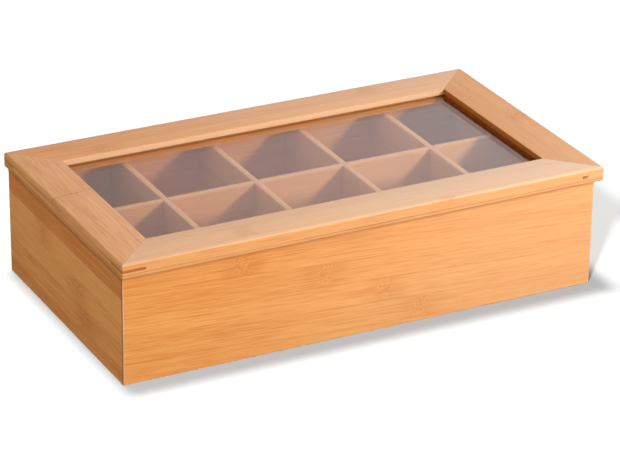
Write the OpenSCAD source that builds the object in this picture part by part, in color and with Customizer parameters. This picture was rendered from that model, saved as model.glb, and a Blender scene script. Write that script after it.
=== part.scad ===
// Bamboo tea bag organizer box: a glued tray with ten compartments and a hinged lid with a clear pane.
// Millimetres. X runs along the length, the front faces -Y, +Z is up and Z = 0 is the table.
// X = 0 is the middle of the length and Y = 0 the middle of the overall depth, hinge barrels included.

/* [Lid] */
// Length of the lid, end to end
lid_l = 360; // [340:1:400]
// Depth of the lid, front to back
lid_d = 200; // [185:1:230]
// Thickness of the four lid rails
lid_t = 10; // [10:0.5:14]
// Width of each lid rail, seen from above
rail_w = 31; // [26:0.5:36]
// Radius of the rounding along the lid's outer top edges
top_round = 2; // [1:0.25:3]
// Radius of the rounding down the lid's four corners
lid_corner_r = 1.5; // [0.5:0.25:3]

/* [Window] */
// Thickness of the clear pane
pane_t = 2; // [1.5:0.25:2.5]
// Distance from the top of the lid down to the pane
pane_recess = 4.5; // [3.5:0.25:5]
// Depth of the groove that holds the pane
pane_groove = 4; // [3:0.5:6]
// Play of the pane in its groove, per edge
pane_play = 0.5; // [0.3:0.1:0.8]
// Play of the pane in its groove, above it
pane_lift = 0.2; // [0.1:0.05:0.3]

/* [Lid corner keys] */
// Thickness of the key let into each mitre
key_t = 2; // [1.5:0.25:3]
// Length of the key that shows on each face of a lid corner
key_leg = 17; // [12:0.5:20]

/* [Tray] */
// Height of the tray's walls
tray_h = 80; // [60:1:110]
// Thickness of the tray's walls
wall_t = 9; // [8.5:0.25:12]
// How far the lid stands out past each end of the tray
end_overhang = 3; // [1:0.5:6]
// How far the lid stands out past the front of the tray, as a lip to lift it by
front_lip = 7; // [3:0.5:10]
// Radius of the rounding down the tray's four outer corners
tray_corner_r = 1; // [0.5:0.25:2]

/* [Bottom] */
// Thickness of the bottom panel
bottom_t = 4; // [3:0.5:6]
// Height of the bottom panel's underside above the table
bottom_raise = 5; // [4:0.5:10]
// Depth of the groove that holds the bottom panel
bottom_groove = 4; // [3:0.5:5]
// Play of the bottom panel in its groove, per edge
bottom_play = 0.5; // [0.3:0.1:0.8]

/* [Dividers] */
// Thickness of the dividers
divider_t = 4.5; // [3:0.5:6]
// Distance from the rim of the tray down to the dividers' top edges
divider_drop = 1; // [0.5:0.5:10]
// Depth of the upright grooves in the walls that hold the dividers' ends
housing_d = 3; // [2:0.5:4]
// Play of a divider in its housing or in a crossing, per side
divider_play = 0.1; // [0.05:0.05:0.2]

/* [Hinges] */
// Length of each hinge
hinge_l = 30; // [26:1:40]
// Length of the lid's knuckle, in the middle of the hinge
mid_knuckle_l = 11.6; // [8:0.2:12]
// Gap between neighbouring knuckles
knuckle_gap = 0.2; // [0.1:0.05:0.4]
// Radius of the hinge pin
pin_r = 0.9; // [0.8:0.05:1.2]
// Thickness of the hinge leaves
leaf_t = 1.1; // [0.9:0.05:1.4]
// Distance from the pin's axis to the far edge of a leaf
leaf_reach = 6.6; // [6.4:0.1:7]
// Distance that the pin's axis stands behind the back faces
axis_out = 0.15; // [0.1:0.05:0.4]
// Radial running clearance of the pin in the lid's knuckle
pin_run = 0.05; // [0.02:0.01:0.08]
// Clearance round the barrel, in the wood and in the leaves
barrel_clear = 0.3; // [0.25:0.05:0.5]
// Radius of the wood screws
screw_r = 0.9; // [0.8:0.05:1]
// Radius of the screws' countersunk heads
screw_head_r = 1.6; // [1.4:0.05:1.7]
// Length of the screws
screw_l = 6; // [5:0.5:7]

/* [Hidden] */
$fn = 64;

// Compartments along the length, one more than there are cross dividers
columns = 5;
// Cuts run this far past the face that they open through
over = 1;

// Hinge barrel, and the overall depth that it adds to
knuckle_r = pin_r + leaf_t;
overall_d = lid_d + axis_out + knuckle_r;

// Planes across the depth
back_y = overall_d / 2 - axis_out - knuckle_r;
lid_mid_y = back_y - lid_d / 2;
axis_y = back_y + axis_out;

// Tray outside and inside
tray_l = lid_l - 2 * end_overhang;
tray_d = lid_d - front_lip;
tray_mid_y = back_y - tray_d / 2;
inside_l = tray_l - 2 * wall_t;
inside_d = tray_d - 2 * wall_t;

// Dividers: an even row of compartments, in two ranks
cell_l = (inside_l - (columns - 1) * divider_t) / columns;
cell_pitch = cell_l + divider_t;
floor_z = bottom_raise + bottom_t;
divider_h = tray_h - divider_drop - floor_z;
lap_h = divider_h / 2;
housing_w = divider_t + 2 * divider_play;
divider_reach = housing_d - divider_play;
cross_xs = [for (i = [1 : columns - 1]) (i - columns / 2) * cell_pitch];

// Lid levels
lid_top = tray_h + lid_t;
pane_z = lid_top - pane_recess - pane_t;
key_z = tray_h + lid_t / 2 - key_t / 2;

// Hinges, each behind the middle of an end compartment
hinge_x = cell_pitch * (columns - 1) / 2;
leaf_cut = knuckle_r + barrel_clear;
end_knuckle_l = (hinge_l - mid_knuckle_l) / 2 - knuckle_gap;
screw_y = -(leaf_reach + leaf_cut) / 2;
screw_x = (hinge_l - end_knuckle_l) / 2;
head_h = screw_head_r - screw_r;
tip_h = 1.5 * screw_r;
screw_sides = 32;

bamboo = [0.86, 0.62, 0.38];
pale_bamboo = [0.88, 0.66, 0.43];
dark_bamboo = [0.66, 0.43, 0.24];
brass = [0.80, 0.66, 0.36];

// Plan outlines

// One mitred side of a frame, with its outer edge on Y = 0 and its inside towards +Y
module side_outline(side_l, width) {
  polygon([
    [-side_l / 2, 0],
    [side_l / 2, 0],
    [side_l / 2 - width, width],
    [-side_l / 2 + width, width]
  ]);
}

// A rectangle with rounded corners, centred
module soft_rect(length, depth, r) {
  square([length - 2 * r, depth], center = true);
  square([length, depth - 2 * r], center = true);
  for (x = [-1, 1], y = [-1, 1])
    translate([x * (length / 2 - r), y * (depth / 2 - r)]) circle(r);
}

// Puts a side drawn with its outer face on Y = 0 against one face of a frame
module at_side(side, length, depth, mid_y) {
  turn = side == "front" ? 0 : side == "right" ? 90 : side == "back" ? 180 : 270;
  out = side == "front" || side == "back" ? depth / 2 : length / 2;
  translate([0, mid_y, 0]) rotate([0, 0, turn]) translate([0, -out, 0]) children();
}

// Tray walls

// A wall board with its bottom groove and the housings for the divider ends
module wall_board(side_l, housings) {
  difference() {
    linear_extrude(tray_h) side_outline(side_l, wall_t);
    translate([-side_l / 2, wall_t - bottom_groove, bottom_raise])
      cube([side_l, bottom_groove + over, bottom_t]);
    for (x = housings)
      translate([x - housing_w / 2, wall_t - housing_d, floor_z])
        cube([housing_w, housing_d + over, tray_h]);
  }
}

// A wall in its place, with the tray's outer corners rounded
module tray_wall(side, side_l, housings) {
  intersection() {
    at_side(side, tray_l, tray_d, tray_mid_y) wall_board(side_l, housings);
    translate([0, tray_mid_y, 0]) linear_extrude(tray_h) soft_rect(tray_l, tray_d, tray_corner_r);
  }
}

module front_panel() {
  color(bamboo) tray_wall("front", tray_l, cross_xs);
}

module back_panel() {
  color(bamboo) difference() {
    tray_wall("back", tray_l, cross_xs);
    at_hinges() hinge_mortise();
    at_hinges() at_leaf_screws() screw();
  }
}

module left_end_panel() {
  color(bamboo) tray_wall("left", tray_d, [0]);
}

module right_end_panel() {
  color(bamboo) tray_wall("right", tray_d, [0]);
}

module bottom_panel() {
  length = inside_l + 2 * (bottom_groove - bottom_play);
  depth = inside_d + 2 * (bottom_groove - bottom_play);
  color(pale_bamboo) translate([-length / 2, tray_mid_y - depth / 2, bottom_raise])
    cube([length, depth, bottom_t]);
}

// Dividers

// Lengthwise divider, slotted from above at each crossing
module long_divider() {
  length = inside_l + 2 * divider_reach;
  color(pale_bamboo) translate([0, tray_mid_y, floor_z]) difference() {
    translate([-length / 2, -divider_t / 2, 0]) cube([length, divider_t, divider_h]);
    for (x = cross_xs)
      translate([x - housing_w / 2, -divider_t, lap_h]) cube([housing_w, 2 * divider_t, divider_h]);
  }
}

// Front-to-back divider, slotted from below where it drops over the long one
module cross_divider(number) {
  depth = inside_d + 2 * divider_reach;
  color(pale_bamboo) translate([cross_xs[number - 1], tray_mid_y, floor_z]) difference() {
    translate([-divider_t / 2, -depth / 2, 0]) cube([divider_t, depth, divider_h]);
    translate([-divider_t, -housing_w / 2, -over]) cube([2 * divider_t, housing_w, lap_h + over]);
  }
}

// Lid

// Cross-section of a rail, seen along it, with the rounded outer edge and the pane's groove
module rail_section() {
  difference() {
    union() {
      square([rail_w, lid_t - top_round]);
      translate([top_round, 0]) square([rail_w - top_round, lid_t]);
      translate([top_round, lid_t - top_round]) circle(top_round);
    }
    translate([rail_w - pane_groove, pane_z - tray_h])
      square([pane_groove + over, pane_t + pane_lift]);
  }
}

// A mitred rail, with its outer face on Y = 0 and its underside on Z = 0
module rail_board(side_l) {
  intersection() {
    translate([-side_l / 2, 0, 0]) rotate([90, 0, 90]) linear_extrude(side_l) rail_section();
    linear_extrude(lid_t) side_outline(side_l, rail_w);
  }
}

// A rail in its place, slotted for the corner keys
module lid_rail(side, side_l) {
  difference() {
    intersection() {
      translate([0, 0, tray_h]) at_side(side, lid_l, lid_d, lid_mid_y) rail_board(side_l);
      lid_block();
    }
    for (x = [-1, 1], y = [-1, 1])
      key_plate(x, y);
  }
}

// The whole lid as one block with its corners rounded
module lid_block() {
  translate([0, lid_mid_y, tray_h]) linear_extrude(lid_t) soft_rect(lid_l, lid_d, lid_corner_r);
}

// Triangular plate across a lid corner: x and y are the signs of the corner's side
module key_plate(x, y) {
  translate([x * lid_l / 2, lid_mid_y + y * lid_d / 2, key_z]) linear_extrude(key_t)
    polygon([[0, 0], [-x * key_leg, 0], [0, -y * key_leg]]);
}

module corner_key(x, y) {
  color(dark_bamboo) intersection() {
    key_plate(x, y);
    lid_block();
  }
}

module lid_front_rail() {
  color(bamboo) lid_rail("front", lid_l);
}

module lid_back_rail() {
  color(bamboo) difference() {
    lid_rail("back", lid_l);
    at_hinges() mirror([0, 0, 1]) hinge_mortise();
    at_hinges() mirror([0, 0, 1]) at_leaf_screws() screw();
  }
}

module lid_left_rail() {
  color(bamboo) lid_rail("left", lid_d);
}

module lid_right_rail() {
  color(bamboo) lid_rail("right", lid_d);
}

module window_pane() {
  length = lid_l - 2 * (rail_w - pane_groove + pane_play);
  depth = lid_d - 2 * (rail_w - pane_groove + pane_play);
  color([0.80, 0.80, 0.80, 0.35]) translate([-length / 2, lid_mid_y - depth / 2, pane_z])
    cube([length, depth, pane_t]);
}

// Hinges, drawn round the pin's axis: X along the pin, -Y into the wood, +Z up

module at_hinge(side) {
  translate([side * hinge_x, axis_y, tray_h]) children();
}

module at_hinges() {
  for (side = [-1, 1])
    at_hinge(side) children();
}

// Puts a screw drawn with its head's face on Z = 0 at each hole of a leaf that faces up
module at_leaf_screws() {
  for (x = [-1, 1])
    translate([x * screw_x, screw_y, leaf_t - knuckle_r]) children();
}

// A round bar along the pin's axis, centred on it
module along_axis(r, length) {
  rotate([0, 90, 0]) cylinder(h = length, r = r, center = true);
}

// Recess in the tray's rim for one leaf and the barrel
module hinge_mortise() {
  length = hinge_l + 2 * barrel_clear;
  translate([-length / 2, -leaf_reach, -knuckle_r]) cube([length, leaf_reach + over, knuckle_r + over]);
  along_axis(knuckle_r + barrel_clear, length);
}

// A leaf from its far edge to the axis, before its knuckles
module leaf_plate() {
  translate([-hinge_l / 2, -leaf_reach, -knuckle_r]) cube([hinge_l, leaf_reach, leaf_t]);
}

// Tray leaf, with the two end knuckles that grip the pin
module tray_leaf() {
  mid_cut = mid_knuckle_l + 2 * knuckle_gap;
  difference() {
    union() {
      difference() {
        leaf_plate();
        translate([-mid_cut / 2, -leaf_cut, -knuckle_r - over])
          cube([mid_cut, leaf_cut + over, leaf_t + 2 * over]);
      }
      for (x = [-1, 1])
        translate([x * (hinge_l - end_knuckle_l) / 2, 0, 0]) along_axis(knuckle_r, end_knuckle_l);
    }
    along_axis(pin_r, hinge_l + 2 * over);
    at_leaf_screws() screw();
  }
}

// Lid leaf, with the middle knuckle that turns on the pin
module lid_leaf() {
  end_cut = end_knuckle_l + knuckle_gap;
  difference() {
    union() {
      difference() {
        leaf_plate();
        for (x = [-hinge_l / 2 - over, hinge_l / 2 - end_cut])
          translate([x, -leaf_cut, -knuckle_r - over])
            cube([end_cut + over, leaf_cut + over, leaf_t + 2 * over]);
      }
      along_axis(knuckle_r, mid_knuckle_l);
    }
    along_axis(pin_r + pin_run, hinge_l);
    at_leaf_screws() screw();
  }
}

// Countersunk wood screw pointing down, with its head's face on Z = 0
module screw() {
  $fn = screw_sides;
  translate([0, 0, -head_h]) cylinder(h = head_h, r1 = screw_r, r2 = screw_head_r);
  translate([0, 0, tip_h - screw_l]) cylinder(h = screw_l - tip_h - head_h, r = screw_r);
  translate([0, 0, -screw_l]) cylinder(h = tip_h, r1 = 0, r2 = screw_r);
}

module hinge_tray_leaf(side) {
  color(brass) at_hinge(side) tray_leaf();
}

module hinge_lid_leaf(side) {
  color(brass) at_hinge(side) mirror([0, 0, 1]) lid_leaf();
}

module hinge_pin(side) {
  color(brass) at_hinge(side) along_axis(pin_r, hinge_l);
}

module tray_leaf_screws() {
  color(brass) at_hinges() at_leaf_screws() screw();
}

module lid_leaf_screws() {
  color(brass) at_hinges() mirror([0, 0, 1]) at_leaf_screws() screw();
}

front_panel();
back_panel();
left_end_panel();
right_end_panel();
bottom_panel();
long_divider();
cross_divider(1);  // cross_divider_1
cross_divider(2);  // cross_divider_2
cross_divider(3);  // cross_divider_3
cross_divider(4);  // cross_divider_4
lid_front_rail();
lid_back_rail();
lid_left_rail();
lid_right_rail();
window_pane();
corner_key(-1, -1);  // front_left_key
corner_key(1, -1);  // front_right_key
corner_key(-1, 1);  // back_left_key
corner_key(1, 1);  // back_right_key
hinge_tray_leaf(-1);  // left_hinge_tray_leaf
hinge_tray_leaf(1);  // right_hinge_tray_leaf
hinge_lid_leaf(-1);  // left_hinge_lid_leaf
hinge_lid_leaf(1);  // right_hinge_lid_leaf
hinge_pin(-1);  // left_hinge_pin
hinge_pin(1);  // right_hinge_pin
tray_leaf_screws();
lid_leaf_screws();
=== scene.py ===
"""Looks of the bamboo tea box: grained boards with eased edges, a clear pane, brass hinges and a studio.

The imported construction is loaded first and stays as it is. Each piece made here takes its place from it.
"""

import math
import random
from collections import namedtuple

import bmesh
import bpy
from bpy.props import FloatProperty, FloatVectorProperty, PointerProperty
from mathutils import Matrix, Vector


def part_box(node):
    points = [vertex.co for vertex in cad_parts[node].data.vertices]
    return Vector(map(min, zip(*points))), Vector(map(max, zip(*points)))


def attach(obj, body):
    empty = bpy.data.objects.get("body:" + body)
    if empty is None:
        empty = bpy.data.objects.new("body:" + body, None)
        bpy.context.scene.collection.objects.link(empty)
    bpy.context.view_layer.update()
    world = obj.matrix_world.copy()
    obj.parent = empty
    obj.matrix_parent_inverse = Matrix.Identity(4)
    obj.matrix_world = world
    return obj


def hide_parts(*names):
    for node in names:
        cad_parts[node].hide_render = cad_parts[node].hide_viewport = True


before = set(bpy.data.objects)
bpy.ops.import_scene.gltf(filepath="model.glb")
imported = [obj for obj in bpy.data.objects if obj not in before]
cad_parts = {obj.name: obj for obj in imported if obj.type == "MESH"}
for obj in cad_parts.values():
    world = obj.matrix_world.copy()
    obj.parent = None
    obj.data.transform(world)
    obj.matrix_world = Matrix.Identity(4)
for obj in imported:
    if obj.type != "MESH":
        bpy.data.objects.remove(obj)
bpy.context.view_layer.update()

bl_info = {
    "name": "Bamboo tea box",
    "version": (1, 0, 0),
    "blender": (4, 5, 0),
    "location": "3D View > Sidebar > Tea box",
    "description": "Dresses the tea box's construction in bamboo, acrylic and brass",
    "category": "Object",
}

MM = 0.001

# Planes of the construction that patterns and pieces start from
LID_LOW, LID_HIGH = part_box("lid_front_rail")
TRAY_LOW, TRAY_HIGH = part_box("front_panel")
BACK_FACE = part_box("back_panel")[1].y
END_LOW, END_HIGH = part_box("left_end_panel")
WALL = END_HIGH.x - END_LOW.x
PANE_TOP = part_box("window_pane")[1].z
KEY_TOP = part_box("front_left_key")[1].z
LID_TOP = LID_HIGH.z
LID_FRONT = LID_LOW.y
LID_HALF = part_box("lid_right_rail")[1].x
WINDOW_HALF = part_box("lid_right_rail")[0].x
WINDOW_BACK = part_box("lid_back_rail")[0].y
FLOOR_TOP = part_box("bottom_panel")[1].z
DIVIDER_LOW, DIVIDER_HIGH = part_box("long_divider")
CROSS_DIVIDERS = [f"cross_divider_{number}" for number in range(1, 5)]

# Half length, half depth and middle of the two mitred frames
TRAY_CORNERS = (TRAY_HIGH.x, (BACK_FACE - TRAY_LOW.y) / 2, (TRAY_LOW.y + BACK_FACE) / 2)
LID_CORNERS = (LID_HALF, (BACK_FACE - LID_FRONT) / 2, (LID_FRONT + BACK_FACE) / 2)

# Attribute that marks sanded faces
WORN = "worn"


# Sizes and colours

class TeaBoxSizes(bpy.types.PropertyGroup):
    """Small sizes of the finish, which the construction leaves out"""

    ease: FloatProperty(
        name="Eased edges", description="Width that sanding took off the edges of the boards",
        default=0.5 * MM, min=0.1 * MM, max=MM, unit="LENGTH", precision=4)
    brass_ease: FloatProperty(
        name="Eased brass", description="Width taken off the edges of the hinge leaves and of the pane",
        default=0.12 * MM, min=0.02 * MM, max=0.2 * MM, unit="LENGTH", precision=5)
    strip: FloatProperty(
        name="Strip width", description="Width of the bamboo strips that the boards are glued up from",
        default=17 * MM, min=10 * MM, max=30 * MM, unit="LENGTH", precision=4)
    wall_ply: FloatProperty(
        name="Wall ply", description="Thickness of one layer of strips in the tray's walls",
        default=3 * MM, min=2 * MM, max=9 * MM, unit="LENGTH", precision=4)
    rail_ply: FloatProperty(
        name="Rail ply", description="Thickness of the upper layer of strips in the lid's rails",
        default=7.6 * MM, min=2 * MM, max=10 * MM, unit="LENGTH", precision=4)
    node_spacing: FloatProperty(
        name="Node spacing", description="Distance between two nodes of one strip",
        default=400 * MM, min=250 * MM, max=450 * MM, unit="LENGTH")
    slot_width: FloatProperty(
        name="Screw slot width", description="Width of the slot in a screw's head",
        default=0.45 * MM, min=0.2 * MM, max=0.8 * MM, unit="LENGTH", precision=5)
    slot_depth: FloatProperty(
        name="Screw slot depth", description="Depth of the slot in a screw's head",
        default=0.4 * MM, min=0.2 * MM, max=0.6 * MM, unit="LENGTH", precision=5)


class TeaBoxColours(bpy.types.PropertyGroup):
    """Colours of the finishes, before any light, some of which also paint sheen, highlights and shade"""

    pale: FloatVectorProperty(
        name="Pale bamboo", description="Lightest strips", subtype="COLOR", size=3,
        default=(0.88, 0.385, 0.095), min=0, max=1)
    deep: FloatVectorProperty(
        name="Deep bamboo", description="Darkest strips", subtype="COLOR", size=3,
        default=(0.66, 0.205, 0.026), min=0, max=1)
    fibre: FloatVectorProperty(
        name="Fibres", description="Dark bundles of fibre along the grain", subtype="COLOR", size=3,
        default=(0.42, 0.12, 0.022), min=0, max=1)
    # Also paints the sheen on the rails' tops, the light that grows towards the right, and the highlight on
    # the tray's long corners
    bleached_and_sheen: FloatVectorProperty(
        name="Bleached bamboo", description="What the palest boards fade to", subtype="COLOR", size=3,
        default=(0.87, 0.56, 0.34), min=0, max=1)
    # Painted shade on the right rail's faces round the window, which face away from the key lamp
    window_shade: FloatVectorProperty(
        name="Stain", description="Dark lacquer on the inner edge of the right rail", subtype="COLOR", size=3,
        default=(0.16, 0.035, 0.006), min=0, max=1)
    # Also the painted shade below the lid's lip, along the rails' foot and in the shadow gap over the pane on
    # the back rail
    glue_and_shade: FloatVectorProperty(
        name="Glue line", description="Joints between strips, layers and mitres", subtype="COLOR", size=3,
        default=(0.30, 0.10, 0.025), min=0, max=1)
    key: FloatVectorProperty(
        name="Keys", description="End grain of the corner keys", subtype="COLOR", size=3,
        default=(0.40, 0.14, 0.04), min=0, max=1)
    brass: FloatVectorProperty(
        name="Brass", description="Hinges, pins and screws", subtype="COLOR", size=3,
        default=(0.78, 0.56, 0.27), min=0, max=1)
    pane: FloatVectorProperty(
        name="Pane", description="Light that passes the clear pane", subtype="COLOR", size=3,
        default=(0.97, 0.96, 0.95), min=0, max=1)


class TeaBoxStudio(bpy.types.PropertyGroup):
    """Lamps and surroundings"""

    key_power: FloatProperty(
        name="Key lamp", description="Power of the lamp at the front right", default=11.8, min=0,
        unit="POWER")
    shade_power: FloatProperty(
        name="Floor lamp", description="Power of the lamp that lays the soft shadow in front of the box",
        default=218, min=0, unit="POWER")
    flash_power: FloatProperty(
        name="Flash", description="Power of the lamp beside the camera that lays the shadow at the right",
        default=97, min=0, unit="POWER")
    room: FloatProperty(
        name="Room light", description="Strength of the even light from all round", default=0.56,
        min=0, max=1, subtype="FACTOR")
    bounce: FloatProperty(
        name="Table light", description="Strength of the light that the table throws back on the box",
        default=0.72, min=0, max=1, subtype="FACTOR")
    floor: FloatVectorProperty(
        name="Table", description="Colour of the table", subtype="COLOR", size=3,
        default=(0.288, 0.308, 0.32), min=0, max=1)


# Node graphs

# Places of the factor and the two colours among a mix node's inputs, and of the colour among its outputs
MIX_INPUTS = (0, 6, 7)
MIX_OUTPUT = 2
BLACK, WHITE = (0, 0, 0), (1, 1, 1)


class Graph:
    """Short calls that lay out the nodes of one material or world"""

    def __init__(self, tree):
        self.tree = tree
        tree.nodes.clear()

    def feed(self, socket, value):
        """Links the input to a node's output, or sets it to a plain value or an opaque colour"""
        if isinstance(value, bpy.types.NodeSocket):
            self.tree.links.new(value, socket)
        else:
            socket.default_value = (*value, 1.0) if socket.type == "RGBA" else value

    def node(self, kind, inputs=(), **settings):
        """A new node, with its inputs fed by name"""
        node = self.tree.nodes.new(kind)
        for name, value in settings.items():
            setattr(node, name, value)
        for name, value in dict(inputs).items():
            self.feed(node.inputs[name], value)
        return node

    def output(self, kind, *values, **settings):
        """The first output of a new node, with its inputs fed in their order"""
        node = self.node(kind, **settings)
        for socket, value in zip(node.inputs, values):
            self.feed(socket, value)
        return node.outputs[0]

    def math(self, operation, *values):
        return self.output("ShaderNodeMath", *values, operation=operation)

    def vector(self, operation, *values):
        return self.output("ShaderNodeVectorMath", *values, operation=operation)

    def combine(self, x, y, z):
        return self.output("ShaderNodeCombineXYZ", x, y, z)

    def times(self, first, second):
        return self.math("MULTIPLY", first, second)

    def minus(self, first, second):
        return self.math("SUBTRACT", first, second)

    def add(self, base, value, share):
        """base plus a share of value"""
        return self.math("MULTIPLY_ADD", value, share, base)

    def between(self, share, first, second):
        """first where share is 0, second where it is 1"""
        return self.add(first, share, self.minus(second, first))

    def distance(self, first, second):
        return self.math("ABSOLUTE", self.minus(first, second))

    def ease(self, value, low, high, start=0.0, end=1.0):
        """start below low, end above high, and a smooth step between them"""
        node = self.node(
            "ShaderNodeMapRange",
            {"Value": value, "From Min": low, "From Max": high, "To Min": start, "To Max": end},
            interpolation_type="SMOOTHSTEP")
        return node.outputs["Result"]

    def noise(self, vector, detail, scale=1.0):
        inputs = {"Vector": vector, "Scale": scale, "Detail": detail}
        return self.node("ShaderNodeTexNoise", inputs).outputs[0]

    def tint(self, colour, share, other):
        """A colour with a share of another one mixed into it"""
        node = self.node("ShaderNodeMix", data_type="RGBA")
        for index, value in zip(MIX_INPUTS, (share, colour, other)):
            self.feed(node.inputs[index], value)
        return node.outputs[MIX_OUTPUT]

    def object_place(self):
        return self.node("ShaderNodeTexCoord").outputs["Object"]

    def object_axes(self):
        split = self.node("ShaderNodeSeparateXYZ", {"Vector": self.object_place()})
        return {axis: split.outputs[axis] for axis in "XYZ"}

    def wear(self):
        """1 on the faces that ease_edges marked as worn"""
        return self.node("ShaderNodeAttribute", attribute_name=WORN).outputs["Fac"]

    def bump(self, height, strength, distance):
        return self.node(
            "ShaderNodeBump", {"Height": height, "Strength": strength, "Distance": distance}).outputs[0]

    def surface(self, colour, rough, normal, **others):
        """Ends the graph in a surface. Underscores in the names of other inputs stand for spaces"""
        inputs = {"Base Color": colour, "Roughness": rough, "Normal": normal}
        inputs.update((name.replace("_", " "), value) for name, value in others.items())
        self.finish(self.node("ShaderNodeBsdfPrincipled", inputs).outputs[0])

    def finish(self, shader, kind="ShaderNodeOutputMaterial"):
        self.node(kind, {"Surface": shader})


def new_material(name):
    """An empty material and its graph"""
    material = bpy.data.materials.new(name)
    material.use_nodes = True
    return material, Graph(material.node_tree)


# Bamboo

# How one board is glued up: the axes that its grain, its strips and its layers follow, the line that the
# strips are counted from and the face that the layers are counted from in metres, the layers' thickness,
# how pale the board is at its low and its high end (partly paler wood, partly painted sheen and light that
# grow towards the lamp at the right), for each strip its own tone and where its node lies in millimetres,
# how far the strips climb per length, how much painted light lies on the faces round the window (painted
# shade where it is below 0), how deep the paleness and painted sheen go in metres and what share of them is
# left below that, the lacquer's gloss, how strong the streaks along the grain are, and how dark a node's
# mottling and its ring are
Board = namedtuple(
    "Board", "grain across deep edge face ply pale strips lean window skin below gloss streaks mottle ring",
    defaults=(0.0, 0.0, 0.02, 0.0, 1.0, 1.0, 0.25, 0.0))

# A strip whose nodes both lie outside the board has this node place, in millimetres
NO_NODE = 200

# The tones of strips that the photo doesn't show lie between these
HIDDEN_TONES = (0.42, 0.60)

# Numbers of the pattern. A step is where a smooth change begins and ends, and what it runs from and to if
# that isn't 0 and 1. Lengths are in metres.
# Layers: the share that still belongs to the layer above, the share of a strip that each is laid to the
# side, how far hidden strips differ in tone, and how far along their nodes are moved
LAYER_RIM, LAYER_SHIFT, LAYER_TONE, LAYER_NODES = 0.02, 0.37, 0.2, 90 * MM
# A node's patch by the distance from its line, by the share of the strip from its joint, and by depth
NODE_STEP = (9 * MM, 3 * MM)
NODE_RIM_STEP = (0.0, 0.14, 0.2, 1.0)
NODE_SKIN_STEP = (0.5 * MM, 2.5 * MM, 1.0, 0.25)
# How far the node's line wanders and on what scale, the dark wood round it on upright and on flat boards,
# and its ring
NODE_WANDER, WANDER_SCALE = 7 * MM, 150.0
HALO_STEP, WALL_HALO, FLAT_HALO = (24 * MM, 6 * MM), -0.24, -0.14
RING_STEP = (0.8 * MM, 0.3 * MM)
# Curled fibres and specks in a node
SWIRL_SCALE, SWIRL_BEND = (130.0, 170.0, 170.0), 5 * MM
SPECK_SCALE = (1250.0, 1100.0, 1100.0)
PALE_SPECK_STEP, DARK_SPECK_STEP = (0.44, 0.66, 0.0, 0.6), (0.56, 0.34)
# Bundles of fibre: length and width in millimetres and detail of the noise, and their shares in the tone
BROAD, MIDDLE, FINE = (150, 9, 2), (70, 1.0, 3), (24, 0.5, 3)
BROAD_TONE, MIDDLE_TONE, FINE_TONE = 0.6, 1.3, 2.3
# How far apart in the noise the strips start, and the dark dashes where fine and middle bundles meet
STRIP_SPREAD = 40.0
FINE_DASH_STEP, MIDDLE_DASH_STEP, DASH_SHARE = (0.58, 0.72), (0.40, 0.60), 0.5
# Glue lines: half width and share between strips and between layers, and the share of the width that is
# dark all through
STRIP_JOINT, STRIP_JOINT_SHARE = 0.4 * MM, 0.3
LAYER_JOINT, LAYER_JOINT_SHARE = 0.35 * MM, 0.8
JOINT_CORE = 0.4
# They come and go along the grain, on upright and on flat boards. Those between layers lie deeper than half
# a layer and end short of the board's back
WALL_PATCH_STEP, FLAT_PATCH_STEP = (0.45, 0.65, 0.05, 1.0), (0.45, 0.65, 0.4, 1.0)
FIRST_JOINT, LAST_JOINT = 0.5, WALL - 0.5 * MM
MITRE_STEP = (0.35 * MM, 0.1 * MM, 0.0, 0.3)
# Lines on the tray's upright corners, a dark joint line on the end panels and a painted highlight on the
# long ones: width, share and colour on the end panels and on the long ones, and the share of the width that
# is full
END_CORNER, LONG_CORNER = (1.7 * MM, 0.85, "glue_and_shade"), (1.1 * MM, 0.38, "bleached_and_sheen")
CORNER_CORE = 0.6
# Shading below the lid's lip by height, and at a rail's foot by depth
UNDER_LIP_STEP = (TRAY_HIGH.z - 6 * MM, TRAY_HIGH.z - 3 * MM, 0.0, 0.5)
RAIL_FOOT_STEP = (LID_TOP - TRAY_HIGH.z - 0.9 * MM, LID_TOP - TRAY_HIGH.z - 0.3 * MM, 0.0, 0.6)
# The faces round the window, with painted light on the back rail and painted shade on the right rail, the
# pane's top edge on them, and the shadow gap over the pane
WINDOW_STEP = (0.5 * MM, 0.2 * MM)
PANE_STEP = (PANE_TOP - MM, PANE_TOP)
GAP_AT, GAP_STEP = PANE_TOP + 0.3 * MM, (0.32 * MM, 0.15 * MM, 0.0, 0.6)
# The lacquer: paleness of worn edges, roughness and what adds to it, gloss, and its clear coat
WEAR_PALE = 0.3
LACQUER_ROUGH, MIDDLE_ROUGH, DASH_ROUGH, WEAR_ROUGH = 0.34, 0.16, 0.15, 0.12
LACQUER_SHINE, LACQUER_COAT, COAT_ROUGH, REFRACTION = 0.5, 0.35, 0.3, 1.5
# Relief: what each pattern gives to the height, and the bump's strength and depth
MIDDLE_HEIGHT, DASH_HEIGHT, JOINT_HEIGHT, SPECK_HEIGHT = 0.6, 0.8, 1.2, 0.15
BAMBOO_BUMP = (0.35, 0.08 * MM)


def any_strips(seed, count, reach):
    """Strips of a board whose tones and nodes nobody can see in the photo"""
    draw = random.Random(seed)
    return [(draw.uniform(*HIDDEN_TONES), draw.uniform(-reach, reach)) for _ in range(count)]


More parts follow.
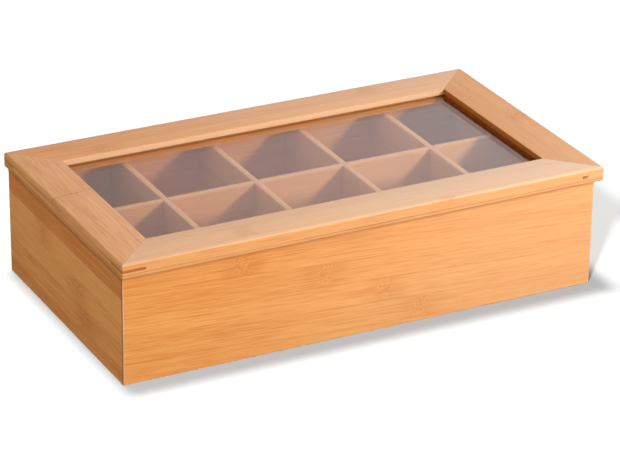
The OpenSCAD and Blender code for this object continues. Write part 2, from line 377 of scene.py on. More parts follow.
def boards(sizes):
    """Every bamboo board of the box by its node's name"""
    wall, rail, strip, thick = sizes.wall_ply, sizes.rail_ply, sizes.strip, WALL
    found = {
        "front_panel": Board(
            "X", "Z", "Y", 4.5 * MM - strip, TRAY_LOW.y, wall, (0.0, 0.28),
            [(0.60, NO_NODE), (0.52, 43), (0.54, 15), (0.46, -31), (0.48, -92), (0.52, NO_NODE),
             (0.50, NO_NODE)], lean=0.0555),
        "back_panel": Board(
            "X", "Z", "Y", 0.0, BACK_FACE, wall, (0.1, 0.1), any_strips(3, 5, 130), streaks=0.7),
        "left_end_panel": Board(
            "Y", "Z", "X", -6.5 * MM, END_LOW.x, wall, (0.0, 0.0),
            [(0.38, 84), (0.52, -31), (0.72, -22), (0.90, 38), (0.16, NO_NODE)], gloss=0.6, mottle=0.5),
        "right_end_panel": Board(
            "Y", "Z", "X", 0.0, -END_LOW.x, wall, (0.1, 0.1), any_strips(8, 5, 80), mottle=0.5),
        "bottom_panel": Board(
            "X", "Y", "Z", TRAY_LOW.y, FLOOR_TOP, thick, (0.1, 0.1), any_strips(5, 12, 140)),
        "long_divider": Board(
            "X", "Z", "Y", FLOOR_TOP, DIVIDER_LOW.y, thick, (0.15, 0.45),
            any_strips(12, 4, 140) + [(0.85, NO_NODE)], streaks=0.6),
        "lid_front_rail": Board(
            "X", "Y", "Z", LID_FRONT - 12 * MM, LID_TOP, rail, (0.45, 0.85),
            [(0.55, 58), (0.58, -87), (0.50, NO_NODE)], skin=0.6 * MM, below=0.35, mottle=0.55),
        "lid_back_rail": Board(
            "X", "Y", "Z", BACK_FACE - 2 * strip, LID_TOP, rail, (0.0, 0.45),
            [(0.50, -116), (0.44, 96), (0.5, NO_NODE)], window=0.7, skin=1.5 * MM, mottle=0.55),
        "lid_left_rail": Board(
            "Y", "X", "Z", -LID_HALF - 9 * MM, LID_TOP, rail / 2, (0.12, 0.12),
            [(0.70, 13), (0.54, 15), (0.44, 18)], skin=1.5 * MM, streaks=1.7, mottle=0.3, ring=0.5),
        "lid_right_rail": Board(
            "Y", "X", "Z", LID_HALF - 2 * strip, LID_TOP, rail, (0.42, 0.30),
            [(0.46, NO_NODE), (0.44, 1.5), (0.46, NO_NODE)], window=-0.85, skin=1.5 * MM, gloss=0.3,
            mottle=0.5),
    }
    for seed, node in enumerate(CROSS_DIVIDERS, start=20):
        low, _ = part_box(node)
        found[node] = Board(
            "Y", "Z", "X", FLOOR_TOP, low.x, thick, (0.2, 0.2), any_strips(seed, 4, 70) + [(0.95, NO_NODE)],
            streaks=0.6)
    return found


def strip_table(graph, board, strip):
    """Tone and node place of a strip, looked up by its number in a colour ramp.

    The ramp's green holds the node's place: from half a metre before the middle to half a metre behind it.
    """
    count = len(board.strips)
    ramp = graph.node("ShaderNodeValToRGB", {
        "Fac": graph.math("DIVIDE", graph.math("ADD", strip, 0.5), float(count))})
    ramp.color_ramp.interpolation = "CONSTANT"
    stops = ramp.color_ramp.elements
    while len(stops) < count:
        stops.new(0.5)
    for number, (tone, node_at) in enumerate(board.strips):
        stops[number].position = number / count
        stops[number].color = (tone, node_at * MM + 0.5, 0, 1)
    split = graph.node("ShaderNodeSeparateColor", {"Color": ramp.outputs["Color"]})
    return split.outputs["Red"], graph.minus(split.outputs["Green"], 0.5)


def from_edges(graph, axes, half_l, half_d, middle_y):
    """How far a point of a mitred frame is from its nearer end and from its nearer long side"""
    from_end = graph.minus(half_l, graph.math("ABSOLUTE", axes["X"]))
    from_side = graph.minus(half_d, graph.distance(axes["Y"], middle_y))
    return from_end, from_side


def corner_lines(graph, board, colours, colour, to_mitre, across, depth):
    """Joint lines and painted highlights on the tray's upright corners and painted shade below the lid's lip,
    or painted shade along a rail's foot
    """
    if board.across != "Z":
        # A painted shade line along the rail's foot
        return graph.tint(colour, graph.ease(depth, *RAIL_FOOT_STEP), colours.glue_and_shade)
    # A dark joint line in the end panels, a painted highlight on the arris of the long ones
    width, share, tint = END_CORNER if board.grain == "Y" else LONG_CORNER
    arris = graph.ease(to_mitre, width, CORNER_CORE * width, end=share)
    arris = graph.times(arris, graph.math("LESS_THAN", depth, WALL / 2))
    colour = graph.tint(colour, arris, getattr(colours, tint))
    # Painted shade below the lid's lip
    return graph.tint(colour, graph.ease(across, *UNDER_LIP_STEP), colours.glue_and_shade)


def window_lines(graph, board, colours, colour, round_window, deep):
    """Paints light on the back rail's faces round the window and shade on the right rail's, with the shadow
    gap over the pane, where it enters its groove
    """
    over, under, gap_tint = (
        (colours.bleached_and_sheen, colours.pale, colours.glue_and_shade) if board.window > 0
        else (colours.fibre, colours.window_shade, colours.window_shade))
    faces = graph.tint(under, graph.ease(deep, *PANE_STEP), over)
    colour = graph.tint(colour, graph.times(round_window, abs(board.window)), faces)
    gap = graph.times(round_window, graph.ease(graph.distance(deep, GAP_AT), *GAP_STEP))
    return graph.tint(colour, gap, gap_tint)


def bamboo(name, board, sizes, colours, mitre=None):
    """Laminated bamboo: strips and layers of their own tone, fibres, nodes, joint lines and worn edges, with
    painted sheen, highlights and shade.

    mitre holds the half length, half depth and middle of the frame whose corners the board is mitred into.
    """
    material, graph = new_material(name)
    axes = graph.object_axes()
    along, across, deep = axes[board.grain], axes[board.across], axes[board.deep]
    upright = board.across == "Z"

    # Layers are counted inwards from the seen face, and each is laid a little to the side of the last
    layer_at = graph.math("DIVIDE", graph.distance(deep, board.face), board.ply)
    layer = graph.math("FLOOR", graph.math("MAXIMUM", graph.minus(layer_at, LAYER_RIM), 0.0))
    depth = graph.times(layer_at, board.ply)
    climbed = graph.add(across, along, board.lean)
    side = graph.add(graph.minus(climbed, board.edge), layer, LAYER_SHIFT * sizes.strip)
    side = graph.math("DIVIDE", side, sizes.strip)
    strip = graph.math("FLOOR", side)
    tone, node_at = strip_table(graph, board, strip)
    chance = graph.node(
        "ShaderNodeTexWhiteNoise", {"Vector": graph.combine(strip, layer, float(len(board.strips)))},
        noise_dimensions="3D")
    hidden = graph.math("MINIMUM", layer, 1.0)
    tone = graph.add(tone, graph.times(hidden, graph.minus(chance.outputs["Value"], 0.5)), LAYER_TONE)

    # Nodes: the distance along the strip to the nearest one, and a patch that thins out towards its rim
    half_space = sizes.node_spacing / 2
    to_node = graph.minus(along, graph.add(node_at, layer, LAYER_NODES))
    to_node = graph.math("WRAP", to_node, half_space, -half_space)
    wander = graph.noise(graph.combine(0.0, graph.times(across, WANDER_SCALE), deep), 1.0)
    off_node = graph.math("ABSOLUTE", graph.add(to_node, graph.minus(wander, 0.5), NODE_WANDER))
    in_strip = graph.math("PINGPONG", graph.math("FRACT", side), 0.5)
    near = graph.times(graph.ease(off_node, *NODE_STEP), graph.ease(in_strip, *NODE_RIM_STEP))
    near = graph.times(near, graph.ease(depth, *NODE_SKIN_STEP))

    # Fibres run along the grain and bend round a node
    swirl = graph.noise(graph.vector("MULTIPLY", graph.combine(along, across, deep), SWIRL_SCALE), 1.0)
    bend = graph.times(near, graph.minus(swirl, 0.5))
    grain = graph.combine(along, graph.add(climbed, bend, SWIRL_BEND), deep)
    start = graph.vector("SCALE", chance.outputs["Color"])
    start.node.inputs["Scale"].default_value = STRIP_SPREAD

    def fibres(length, width, detail):
        stretched = graph.vector("MULTIPLY", grain, (1 / (length * MM), 1 / (width * MM), 1 / (width * MM)))
        return graph.noise(graph.vector("ADD", stretched, start), detail)

    broad, middle, fine = fibres(*BROAD), fibres(*MIDDLE), fibres(*FINE)
    for pattern, share in (
            (broad, BROAD_TONE), (middle, MIDDLE_TONE * board.streaks), (fine, FINE_TONE * board.streaks)):
        tone = graph.add(tone, graph.minus(pattern, 0.5), share)
    tone = graph.add(tone, graph.ease(off_node, *HALO_STEP), WALL_HALO if upright else FLAT_HALO)
    tone = graph.math("MINIMUM", graph.math("MAXIMUM", tone, 0.0), 1.0)
    colour = graph.tint(colours.deep, tone, colours.pale)
    # Paler towards one end and in a skin under the top: partly paler wood, partly painted sheen on the tops
    # and painted light that grows towards the lamp at the right
    ends = (-LID_HALF, LID_HALF) if board.grain == "X" else (LID_FRONT, BACK_FACE)
    paleness_and_sheen = graph.times(graph.ease(along, *ends, *board.pale),
                         graph.ease(depth, board.skin, 2 * board.skin, 1.0, board.below))
    colour = graph.tint(colour, paleness_and_sheen, colours.bleached_and_sheen)
    dashes = graph.times(graph.ease(fine, *FINE_DASH_STEP), graph.ease(middle, *MIDDLE_DASH_STEP))
    colour = graph.tint(colour, graph.times(dashes, DASH_SHARE * board.streaks), colours.fibre)

    # A node is a mottled patch with curled fibres, and a thin dark ring on some boards
    speck = graph.noise(graph.vector("MULTIPLY", grain, SPECK_SCALE), 2.0)
    pale_specks = graph.times(near, graph.ease(speck, *PALE_SPECK_STEP))
    dark_specks = graph.times(near, graph.ease(speck, *DARK_SPECK_STEP, end=board.mottle))
    colour = graph.tint(colour, pale_specks, colours.pale)
    colour = graph.tint(colour, dark_specks, colours.fibre)
    if board.ring:
        colour = graph.tint(colour, graph.ease(off_node, *RING_STEP, end=board.ring), colours.fibre)

    # Glue lines between strips, between layers and in the mitres
    def line(position, pitch, width):
        to_joint = graph.math("PINGPONG", graph.times(position, pitch), pitch / 2)
        return graph.ease(to_joint, width, JOINT_CORE * width)

    patchy = graph.ease(broad, *(WALL_PATCH_STEP if upright else FLAT_PATCH_STEP))
    strip_joint = graph.times(
        line(side, sizes.strip, STRIP_JOINT), graph.times(patchy, STRIP_JOINT_SHARE))
    inside = graph.times(graph.math("LESS_THAN", depth, LAST_JOINT),
                         graph.math("GREATER_THAN", layer_at, FIRST_JOINT))
    layer_joint = graph.times(line(layer_at, board.ply, LAYER_JOINT), graph.times(patchy, inside))
    joint = graph.math("MAXIMUM", strip_joint, graph.times(layer_joint, LAYER_JOINT_SHARE))
    if mitre:
        to_mitre = graph.distance(*from_edges(graph, axes, *mitre))
        joint = graph.math("MAXIMUM", joint, graph.ease(to_mitre, *MITRE_STEP))
        # Painted highlight on the long panels' corners, painted shade below the lid's lip and along a rail's
        # foot
        colour = corner_lines(graph, board, colours, colour, to_mitre, across, depth)
    colour = graph.tint(colour, joint, colours.glue_and_shade)

    shine, coat = LACQUER_SHINE * board.gloss, LACQUER_COAT * board.gloss
    if board.window:
        inner = WINDOW_HALF if board.across == "X" else WINDOW_BACK
        off_face = graph.distance(graph.math("ABSOLUTE", across), inner)
        round_window = graph.ease(off_face, *WINDOW_STEP)
        # Painted light on the back rail's window faces, painted shade on the right rail's
        colour = window_lines(graph, board, colours, colour, round_window, deep)
        if board.window < 0:
            # The painted shade on the right rail's window faces gets no gloss
            shine, coat = graph.add(shine, round_window, -shine), graph.add(coat, round_window, -coat)

    # Sanded edges have thin lacquer: paler and duller
    worn = graph.wear()
    colour = graph.tint(colour, graph.times(worn, WEAR_PALE), colours.pale)
    rough = graph.add(graph.add(LACQUER_ROUGH, middle, MIDDLE_ROUGH), worn, WEAR_ROUGH)
    rough = graph.add(rough, dashes, DASH_ROUGH)
    height = graph.minus(graph.times(middle, MIDDLE_HEIGHT), graph.times(dashes, DASH_HEIGHT))
    height = graph.minus(height, graph.times(joint, JOINT_HEIGHT))
    height = graph.add(height, graph.times(near, speck), SPECK_HEIGHT)
    graph.surface(
        colour, rough, graph.bump(height, *BAMBOO_BUMP), IOR=REFRACTION, Specular_IOR_Level=shine,
        Coat_Weight=coat, Coat_Roughness=COAT_ROUGH)
    return material


# Other finishes

# Corner keys. The lines at the slot's inner end and upper side, by the distance inwards from the corner and
# by height, and how far from the corner the slot begins to show
PORE_SCALE, PORE_STEP = (500.0, 500.0, 1800.0), (0.35, 0.65)
KEY_FACE_STEP = (MM, 0.2 * MM, 0.25, 1.0)
RIGHT_KEY_STEP, RIGHT_KEY_FADE, RIGHT_KEY_PALE = (15.5 * MM, 11 * MM), 0.85, 0.65
SLOT_TOP_STEP, SLOT_END_STEP = (KEY_TOP - 0.9 * MM, KEY_TOP - 0.4 * MM), (15.5 * MM, 16.5 * MM)
SLOT_SHOW_STEP = (4 * MM, 9 * MM, 0.2, 0.9)
KEY_SHARE, KEY_ROUGH, PORE_ROUGH, KEY_BUMP = 0.3, 0.4, 0.25, (0.3, 0.1 * MM)

# Pane: fine scratches, smears and roughness, and what clear plastic mirrors head on and edge on
SCRATCH_SCALE, SCRATCH_STEP, SMEAR_SCALE = (40.0, 900.0, 40.0), (0.62, 0.8), 9.0
PANE_ROUGH, SMEAR_ROUGH, SCRATCH_ROUGH = 0.02, 0.05, 0.10
MIRRORED_HEAD_ON, MIRRORED_EDGE_ON, MIRROR_POWER = 0.04, 0.96, 5.0

# Brass: brushing, tarnish, the shade of dull brass, roughness and relief
BRUSHING_SCALE, TARNISH_SCALE, TARNISH_STEP = (250.0, 9000.0, 9000.0), 420.0, (0.45, 0.7, 0.0, 0.6)
DULL_SHADE, BRIGHT_WEAR = (0.62, 0.55, 0.45), 0.5
BRASS_ROUGH, BRUSHING_ROUGH, TARNISH_ROUGH, BRASS_BUMP = 0.14, 0.18, 0.2, (0.2, 0.03 * MM)


def key_wood(colours):
    """End grain of the corner keys, with the dark gap at the end of the slot"""
    material, graph = new_material("corner_key_bamboo")
    axes = graph.object_axes()
    from_end, from_side = from_edges(graph, axes, *LID_CORNERS)
    inwards = graph.math("ADD", from_end, from_side)
    pores = graph.noise(graph.combine(*map(graph.times, axes.values(), PORE_SCALE)), 3.0)
    # The keys are dark in the lid's front and back face and hardly show in its end faces. Those at the right
    # only show at their inner end
    at_right = graph.times(graph.math("GREATER_THAN", axes["X"], 0.0), graph.ease(inwards, *RIGHT_KEY_STEP))
    dark = graph.times(graph.ease(from_side, *KEY_FACE_STEP),
                       graph.minus(1.0, graph.times(at_right, RIGHT_KEY_FADE)))
    colour = graph.tint(colours.fibre, graph.ease(pores, *PORE_STEP), colours.deep)
    colour = graph.tint(colour, graph.minus(1.0, dark), colours.deep)
    colour = graph.tint(colour, graph.times(at_right, RIGHT_KEY_PALE), colours.bleached_and_sheen)
    slot = graph.math(
        "MAXIMUM", graph.ease(axes["Z"], *SLOT_TOP_STEP), graph.ease(inwards, *SLOT_END_STEP))
    slot = graph.times(slot, graph.ease(inwards, *SLOT_SHOW_STEP))
    colour = graph.tint(colour, graph.times(dark, KEY_SHARE), colours.key)
    colour = graph.tint(colour, graph.times(dark, slot), colours.glue_and_shade)
    graph.surface(
        colour, graph.add(KEY_ROUGH, pores, PORE_ROUGH), graph.bump(pores, *KEY_BUMP), IOR=REFRACTION)
    return material


def clear_acrylic(colours):
    """Clear sheet that mirrors the room at a low angle, with a trace of fine scratches"""
    material, graph = new_material("pane_acrylic")
    place = graph.object_place()
    scratches = graph.ease(graph.noise(graph.vector("MULTIPLY", place, SCRATCH_SCALE), 4.0), *SCRATCH_STEP)
    smear = graph.noise(place, 2.0, scale=SMEAR_SCALE)
    rough = graph.add(graph.add(PANE_ROUGH, smear, SMEAR_ROUGH), scratches, SCRATCH_ROUGH)
    through = graph.node("ShaderNodeBsdfTransparent", {"Color": colours.pane})
    mirror = graph.node("ShaderNodeBsdfGlossy", {"Color": WHITE, "Roughness": rough})
    # The share that a face mirrors is the same from both sides, and rises steeply towards edge on
    tilt = graph.node("ShaderNodeLayerWeight", {"Blend": 0.5}).outputs["Facing"]
    share = graph.add(MIRRORED_HEAD_ON, graph.math("POWER", tilt, MIRROR_POWER), MIRRORED_EDGE_ON)
    graph.finish(graph.output("ShaderNodeMixShader", share, through.outputs[0], mirror.outputs[0]))
    return material


def brushed_brass(colours):
    """Yellow brass with fine brushing along the hinge and a little tarnish"""
    material, graph = new_material("hinge_brass")
    place = graph.object_place()
    brushing = graph.noise(graph.vector("MULTIPLY", place, BRUSHING_SCALE), 3.0)
    tarnish = graph.noise(place, 4.0, scale=TARNISH_SCALE)
    dull = [channel * shade for channel, shade in zip(colours.brass, DULL_SHADE)]
    colour = graph.tint(colours.brass, graph.ease(tarnish, *TARNISH_STEP), dull)
    colour = graph.tint(colour, graph.times(graph.wear(), BRIGHT_WEAR), colours.brass)
    rough = graph.add(graph.add(BRASS_ROUGH, brushing, BRUSHING_ROUGH), tarnish, TARNISH_ROUGH)
    graph.surface(colour, rough, graph.bump(brushing, *BRASS_BUMP), Metallic=1.0)
    return material


# Modelling

# Corners of triangles this close are merged, and faces this flat to each other are made whole
MERGE, FLAT = 0.002 * MM, math.radians(0.5)
# Edges this sharp can be eased, and shading is smooth below the other angle
SHARP, SMOOTH = math.radians(30), math.radians(25)
# Heights and normals that differ by less are the same
LEVEL, TILT = 0.01 * MM, 0.01
# An edge along a wall leans less than this share of its length, or is this short
SLANT, SHORT = 0.3, 0.5 * MM
# A mitre's face is larger than this, in square metres
MITRE_AREA = (5 * MM) ** 2
# Shortest edges that are eased on dividers and on hinge leaves
DIVIDER_EDGE, LEAF_EDGE = 10 * MM, 1.5 * MM
# Sides of a pin and of a screw, and the screw's head and point: their lengths and how thin the point gets
PIN_SIDES, SCREW_SIDES = 48, 32
HEAD, POINT, POINT_SHARE = 0.7 * MM, 1.35 * MM, 0.05


def only(piece):
    """Makes one object the selected and active one"""
    bpy.ops.object.select_all(action="DESELECT")
    piece.hide_set(False)
    piece.select_set(True)
    bpy.context.view_layer.objects.active = piece


def copy_of(node, name):
    """A new object with the solid's own surface: triangles merged, flat faces made whole"""
    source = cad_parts[node]
    piece = bpy.data.objects.new(name, source.data.copy())
    bpy.context.scene.collection.objects.link(piece)
    piece.data.materials.clear()
    only(piece)
    if piece.data.has_custom_normals:
        bpy.ops.mesh.customdata_custom_splitnormals_clear()
    bpy.ops.object.mode_set(mode="EDIT")
    bpy.ops.mesh.select_all(action="SELECT")
    bpy.ops.mesh.remove_doubles(threshold=MERGE)
    bpy.ops.mesh.dissolve_limited(angle_limit=FLAT)
    bpy.ops.object.mode_set(mode="OBJECT")
    return piece


def ease_edges(piece, chosen, width):
    """Bevels the sharp outer edges that chosen accepts, and marks the new faces as worn"""
    only(piece)
    bpy.ops.object.mode_set(mode="EDIT")
    bpy.ops.mesh.select_mode(type="EDGE")
    bpy.ops.mesh.select_all(action="DESELECT")
    edges = [
        edge for edge in bmesh.from_edit_mesh(piece.data).edges
        if len(edge.link_faces) == 2 and edge.calc_face_angle_signed(0.0) >= SHARP and chosen(edge)]
    for edge in edges:
        edge.select_set(True)
    bmesh.update_edit_mesh(piece.data)
    if not edges:
        raise RuntimeError(f"{piece.name} has no edge to ease")
    bpy.ops.mesh.bevel(offset=width, offset_type="OFFSET", segments=2, profile=0.5, clamp_overlap=False)
    bpy.ops.mesh.select_mode(type="FACE")
    bpy.ops.object.mode_set(mode="OBJECT")
    wear = piece.data.color_attributes.new(WORN, "BYTE_COLOR", "CORNER")
    for face in piece.data.polygons:
        shade = 1.0 if face.select else 0.0
        for corner in face.loop_indices:
            wear.data[corner].color = (shade, shade, shade, 1.0)


def smooth(piece):
    only(piece)
    bpy.ops.object.shade_smooth_by_angle(angle=SMOOTH)


def hand_over(piece, node, body, material):
    """Gives a finished piece its material, its node's place in the assembly and its body"""
    piece.data.materials.clear()
    piece.data.materials.append(material)
    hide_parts(node)
    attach(piece, body)


def paint(node, material):
    """Puts a material on a solid that keeps its own shape"""
    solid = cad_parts[node]
    if not solid.material_slots:
        raise RuntimeError(f"{node} has no material slot")
    for slot in solid.material_slots:
        slot.material = material


def at_height(edge, height):
    return all(abs(vertex.co.z - height) < LEVEL for vertex in edge.verts)


def along_wall(edge):
    """True for an edge that doesn't slant as a mitre's edges do, and for very short ones"""
    run = edge.verts[1].co - edge.verts[0].co
    return min(abs(run.x), abs(run.y)) < SLANT * run.length or run.length < SHORT


def mitred(edge):
    """True where a face beside the edge is a mitre's"""
    return any(
        abs(abs(face.normal.x) - abs(face.normal.y)) < TILT and abs(face.normal.z) < TILT
        and face.calc_area() > MITRE_AREA
        for face in edge.link_faces)


def sizes_of(context):
    return context.scene.tea_box_sizes


def colours_of(context):
    return context.scene.tea_box_colours


def make_frame(context, nodes, body, corners, heights):
    """Makes the boards of a mitred frame, with their long edges at the given heights eased"""
    sizes, colours = sizes_of(context), colours_of(context)
    every = boards(sizes)
    for node in nodes:
        piece = copy_of(node, f"{node}_board")
        ease_edges(
            piece, lambda edge: not mitred(edge) and along_wall(edge)
            and any(at_height(edge, height) for height in heights), sizes.ease)
        smooth(piece)
        hand_over(piece, node, body, bamboo(f"{node}_bamboo", every[node], sizes, colours, corners))


# Operators

class TEABOX_OT_walls(bpy.types.Operator):
    """Makes the tray's four mitred walls, with eased rims and feet"""

    bl_idname = "tea_box.walls"
    bl_label = "Tray walls"

    def execute(self, context):
        walls = ("front_panel", "back_panel", "left_end_panel", "right_end_panel")
        make_frame(context, walls, "tray", TRAY_CORNERS, (TRAY_HIGH.z, 0.0))
        return {"FINISHED"}


class TEABOX_OT_bottom(bpy.types.Operator):
    """Gives the bottom panel its grain"""

    bl_idname = "tea_box.bottom"
    bl_label = "Bottom panel"

    def execute(self, context):
        sizes = sizes_of(context)
        board = boards(sizes)["bottom_panel"]
        paint("bottom_panel", bamboo("bottom_panel_bamboo", board, sizes, colours_of(context)))
        return {"FINISHED"}


class TEABOX_OT_dividers(bpy.types.Operator):
    """Makes the five slotted dividers, with eased top edges"""

    bl_idname = "tea_box.dividers"
    bl_label = "Dividers"

    def execute(self, context):
        sizes, colours = sizes_of(context), colours_of(context)
        every = boards(sizes)
        for node in ["long_divider", *CROSS_DIVIDERS]:
            divider = copy_of(node, f"{node}_board")
            ease_edges(
                divider, lambda edge: at_height(edge, DIVIDER_HIGH.z) and edge.calc_length() > DIVIDER_EDGE,
                sizes.ease)
            smooth(divider)
            hand_over(divider, node, "tray",
                      bamboo(f"{node}_bamboo", every[node], sizes, colours))
        return {"FINISHED"}


class TEABOX_OT_rails(bpy.types.Operator):
    """Makes the lid's four mitred rails, eased round the window and along the underside"""

    bl_idname = "tea_box.rails"
    bl_label = "Lid rails"

    def execute(self, context):
        rails = ("lid_front_rail", "lid_back_rail", "lid_left_rail", "lid_right_rail")
        make_frame(context, rails, "lid", LID_CORNERS, (LID_TOP, TRAY_HIGH.z))
        return {"FINISHED"}


class TEABOX_OT_keys(bpy.types.Operator):
    """Gives the four corner keys their end grain"""

    bl_idname = "tea_box.keys"
    bl_label = "Corner keys"

    def execute(self, context):
        wood = key_wood(colours_of(context))
        for node in ("front_left_key", "front_right_key", "back_left_key", "back_right_key"):
            paint(node, wood)
        return {"FINISHED"}


class TEABOX_OT_pane(bpy.types.Operator):
    """Makes the clear pane, with polished edges"""

    bl_idname = "tea_box.pane"
    bl_label = "Window pane"

    def execute(self, context):
        pane = copy_of("window_pane", "window_pane_sheet")
        ease_edges(pane, lambda edge: True, sizes_of(context).brass_ease)
        hand_over(pane, "window_pane", "lid", clear_acrylic(colours_of(context)))
        return {"FINISHED"}


class TEABOX_OT_hinges(bpy.types.Operator):
    """Makes the brass leaves and pins of both hinges"""

    bl_idname = "tea_box.hinges"
    bl_label = "Hinges"

    def execute(self, context):
        sizes = sizes_of(context)
        brass = brushed_brass(colours_of(context))
        for side in ("left", "right"):
            for part, body in (("tray_leaf", "tray"), ("lid_leaf", "lid")):
                node = f"{side}_hinge_{part}"
                leaf = copy_of(node, f"{node}_plate")
                ease_edges(leaf, lambda edge: edge.calc_length() > LEAF_EDGE, sizes.brass_ease)
                smooth(leaf)
                hand_over(leaf, node, body, brass)
            self.pin(f"{side}_hinge_pin", sizes, brass)
        return {"FINISHED"}

    @staticmethod
    def pin(node, sizes, brass):
        """A pin with rounded ends"""
        low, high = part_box(node)
        bpy.ops.mesh.primitive_cylinder_add(
            vertices=PIN_SIDES, radius=(high.z - low.z) / 2, depth=high.x - low.x,
            location=(low + high) / 2, rotation=(0, math.radians(90), 0))
        pin = bpy.context.active_object
        pin.name = f"{node}_rod"
        bpy.ops.object.transform_apply()
        ease_edges(pin, lambda edge: True, 2 * sizes.brass_ease)
        smooth(pin)
        hand_over(pin, node, "tray", brass)


class TEABOX_OT_screws(bpy.types.Operator):
    """Makes the slotted, countersunk screws of the hinge leaves"""

    bl_idname = "tea_box.screws"
    bl_label = "Hinge screws"

    def execute(self, context):
        sizes = sizes_of(context)
        brass = brushed_brass(colours_of(context))
        for node, body in (("tray_leaf_screws", "tray"), ("lid_leaf_screws", "lid")):
            first_x, *other_places = self.places(node)
            first = self.screw(node, first_x, sizes, points_down=body == "tray")
            group = [first]
            for x in other_places:
                other = first.copy()
                other.data = first.data.copy()
                bpy.context.scene.collection.objects.link(other)
                other.location.x = x - first_x
                group.append(other)
            bpy.ops.object.select_all(action="DESELECT")
            for each in group:
                each.select_set(True)
            bpy.context.view_layer.objects.active = first
            bpy.ops.object.join()
            first.name = f"{node}_slotted"
            bpy.ops.object.transform_apply()
            smooth(first)
            hand_over(first, node, body, brass)
        return {"FINISHED"}

    @staticmethod
    def places(node):
        """Where the four screws stand along the length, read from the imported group"""
        low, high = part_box(node)
        head_r = (high.y - low.y) / 2
        outer = high.x - head_r
        hinge_low, hinge_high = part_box("right_hinge_pin")
        inner = hinge_low.x + hinge_high.x - outer
        return [-outer, -inner, inner, outer]

    def screw(self, node, x, sizes, points_down):
        """One screw: the head's cone, the shank and the point, with its slot cut"""
        low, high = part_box(node)
        y, length, head_r = (low.y + high.y) / 2, high.z - low.z, (high.y - low.y) / 2
        way, face = (-1, high.z) if points_down else (1, low.z)
        bpy.ops.mesh.primitive_circle_add(
            vertices=SCREW_SIDES, radius=head_r, fill_type="NGON", location=(x, y, face))
        screw = bpy.context.active_object
        screw.name = f"{node}_slotted"
        bpy.ops.object.mode_set(mode="EDIT")
        bpy.ops.mesh.select_all(action="SELECT")
        steps = ((HEAD, (head_r - HEAD) / head_r), (length - HEAD - POINT, 1.0), (POINT, POINT_SHARE))
        for drop, scale in steps:
            bpy.ops.mesh.extrude_region_move(TRANSFORM_OT_translate={"value": (0, 0, way * drop)})
            bpy.ops.transform.resize(value=(scale, scale, scale))
        bpy.ops.mesh.select_all(action="SELECT")
        bpy.ops.mesh.normals_make_consistent(inside=False)
        bpy.ops.object.mode_set(mode="OBJECT")
        bpy.ops.object.transform_apply()
        self.cut_slot(screw, Vector((x, y, face)), head_r, sizes)
        return screw

    @staticmethod
    def cut_slot(screw, middle, head_r, sizes):
        """Cuts the driver's slot across the head"""
        bpy.ops.mesh.primitive_cube_add(size=1, location=middle)
        blade = bpy.context.active_object
        blade.scale = (4 * head_r, sizes.slot_width, 2 * sizes.slot_depth)
        bpy.ops.object.transform_apply()
        only(screw)
        cut = screw.modifiers.new("Slot", "BOOLEAN")
        cut.operation, cut.object, cut.solver = "DIFFERENCE", blade, "EXACT"
        bpy.ops.object.modifier_apply(modifier=cut.name)
        bpy.data.objects.remove(blade)


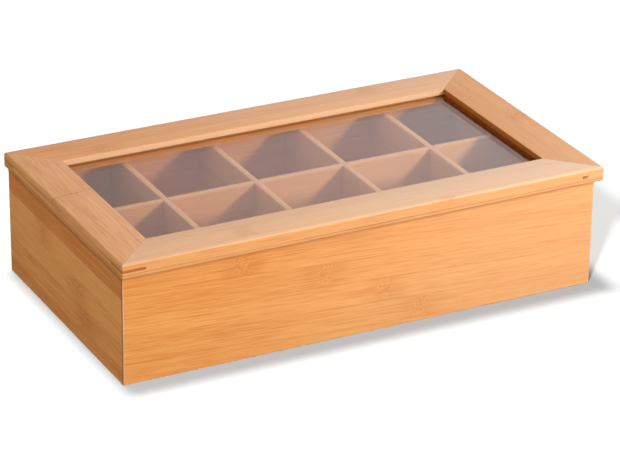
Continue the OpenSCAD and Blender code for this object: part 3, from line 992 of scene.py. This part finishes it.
class TEABOX_OT_stage(bpy.types.Operator):
    """Sets up the table, the lamps, the room and the camera"""

    bl_idname = "tea_box.stage"
    bl_label = "Stage"

    # Camera fitted to the photo's straight edges: place in millimetres, turn in degrees, lens and width of
    # the sensor in millimetres, and how near and far it sees in metres
    CAMERA_AT = (-887.38, -1732.02, 944.37)
    CAMERA_TURN = (64.94, -0.64, -27.00)
    LENS, SENSOR = 180.15, 36
    NEAREST, FARTHEST = 0.05, 50
    # Lamps: place and size in metres
    KEY_AT, KEY_SIZE = (0.595, -1.02, 0.527), 0.17
    SHADE_AT, SHADE_SIZE, SHADE_TINT = (-0.17, 0.26, 3.2), 0.54, (1.0, 0.93, 0.87)
    FLASH_AT, FLASH_SIZE = (-1.13, -1.527, 1.38), 0.15
    # Table: width in metres, the gap below the box, how its glow grows with the distance from the middle,
    # and the share of its light that isn't mirrored
    TABLE_SIZE, TABLE_GAP = 12, 0.1 * MM
    TABLE_FADE_STEP, UNMIRRORED = (0.27, 0.55, 0.02, 0.4), 0.94
    # Room: how bright the mirrored wall and ceiling are, by the direction to the right and upwards
    WALL_STEP, CEILING_STEP = (0.15, 0.65, 0.25, 1.5), (0.42, 0.70)

    def execute(self, context):
        studio = context.scene.tea_box_studio
        table = self.table(studio)
        self.room(context.scene, studio)
        on_table = bpy.data.collections.new("Lit by the floor lamps")
        on_table.objects.link(table)
        off_table = bpy.data.collections.new("Not lit by the key lamp")
        off_table.objects.link(table)
        off_table.collection_objects[0].light_linking.link_state = "EXCLUDE"
        key = self.lamp("key_lamp", self.KEY_AT, self.KEY_SIZE, studio.key_power)
        key.light_linking.receiver_collection = off_table
        key.visible_glossy = False
        shade = self.lamp("floor_lamp", self.SHADE_AT, self.SHADE_SIZE, studio.shade_power)
        shade.data.color = self.SHADE_TINT
        shade.light_linking.receiver_collection = on_table
        flash = self.lamp("flash", self.FLASH_AT, self.FLASH_SIZE, studio.flash_power)
        flash.light_linking.receiver_collection = on_table
        self.camera(context.scene)
        context.scene.view_settings.view_transform = "Standard"
        return {"FINISHED"}

    def table(self, studio):
        """White to the camera but for the shadows, and a source of soft light to the box"""
        bpy.ops.mesh.primitive_plane_add(size=self.TABLE_SIZE, location=(0, 0, -self.TABLE_GAP))
        table = bpy.context.active_object
        table.name = "table"
        material, graph = new_material("table_top")
        path = graph.node("ShaderNodeLightPath")
        seen, mirrored = path.outputs["Is Camera Ray"], path.outputs["Is Glossy Ray"]
        cloth = graph.node("ShaderNodeBsdfDiffuse", {"Color": graph.tint(BLACK, seen, studio.floor)})
        unseen = graph.add(studio.bounce, mirrored, -self.UNMIRRORED * studio.bounce)
        # Far from the box, where the lamps fall off, the table fades to white in the camera
        far = graph.node("ShaderNodeVectorMath", {0: graph.object_place()}, operation="LENGTH")
        fade = graph.ease(far.outputs["Value"], *self.TABLE_FADE_STEP)
        glow = graph.node("ShaderNodeEmission", {"Strength": graph.between(seen, unseen, fade)})
        graph.finish(graph.output("ShaderNodeAddShader", cloth.outputs[0], glow.outputs[0]))
        table.data.materials.append(material)
        return table

    def room(self, scene, studio):
        """White to the camera, even light on the box, and a brighter wall at the back right for the gloss"""
        scene.world = bpy.data.worlds.new("Room")
        scene.world.use_nodes = True
        graph = Graph(scene.world.node_tree)
        path = graph.node("ShaderNodeLightPath")
        way = graph.node("ShaderNodeSeparateXYZ", {
            "Vector": graph.node("ShaderNodeTexCoord").outputs["Generated"]})
        mirrored = graph.math("ADD", graph.ease(way.outputs["X"], *self.WALL_STEP),
                              graph.ease(way.outputs["Z"], *self.CEILING_STEP))
        strength = graph.between(path.outputs["Is Glossy Ray"], studio.room, mirrored)
        clear = graph.math("MAXIMUM", path.outputs["Is Camera Ray"], path.outputs["Is Transmission Ray"])
        strength = graph.between(clear, strength, 1.0)
        light = graph.node("ShaderNodeBackground", {"Color": WHITE, "Strength": strength})
        graph.finish(light.outputs[0], "ShaderNodeOutputWorld")

    @staticmethod
    def lamp(name, place, size, power):
        """A square soft lamp that faces the box"""
        data = bpy.data.lights.new(name, "AREA")
        data.size, data.energy = size, power
        lamp = bpy.data.objects.new(name, data)
        bpy.context.scene.collection.objects.link(lamp)
        lamp.location = place
        lamp.rotation_euler = Vector(place).to_track_quat("Z", "Y").to_euler()
        lamp.visible_camera = False
        return lamp

    def camera(self, scene):
        data = bpy.data.cameras.new("photo_camera")
        data.sensor_width, data.lens = self.SENSOR, self.LENS
        data.clip_start, data.clip_end = self.NEAREST, self.FARTHEST
        camera = bpy.data.objects.new("photo_camera", data)
        scene.collection.objects.link(camera)
        camera.location = Vector(self.CAMERA_AT) * MM
        camera.rotation_euler = [math.radians(turn) for turn in self.CAMERA_TURN]
        scene.camera = camera


class TEABOX_PT_panel(bpy.types.Panel):
    """Lists the steps and the settings in the sidebar"""

    bl_idname = "TEABOX_PT_panel"
    bl_label = "Tea box"
    bl_space_type = "VIEW_3D"
    bl_region_type = "UI"
    bl_category = "Tea box"

    def draw(self, context):
        for group in GROUPS:
            settings = self.layout.box()
            for name in GROUPS[group].__annotations__:
                settings.prop(getattr(context.scene, group), name)
        for step in STEPS:
            self.layout.operator(step.bl_idname)


STEPS = (
    TEABOX_OT_walls, TEABOX_OT_bottom, TEABOX_OT_dividers, TEABOX_OT_rails, TEABOX_OT_keys,
    TEABOX_OT_pane, TEABOX_OT_hinges, TEABOX_OT_screws, TEABOX_OT_stage,
)
GROUPS = {
    "tea_box_sizes": TeaBoxSizes,
    "tea_box_colours": TeaBoxColours,
    "tea_box_studio": TeaBoxStudio,
}


def register():
    for each in (*GROUPS.values(), *STEPS, TEABOX_PT_panel):
        bpy.utils.register_class(each)
    for name, group in GROUPS.items():
        setattr(bpy.types.Scene, name, PointerProperty(type=group))


def unregister():
    for name in GROUPS:
        delattr(bpy.types.Scene, name)
    for each in reversed((*GROUPS.values(), *STEPS, TEABOX_PT_panel)):
        bpy.utils.unregister_class(each)


def main():
    """Registers the classes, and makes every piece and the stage"""
    register()
    for step in STEPS:
        family, name = step.bl_idname.split(".")
        getattr(getattr(bpy.ops, family), name)()


if __name__ == "__main__":
    main()
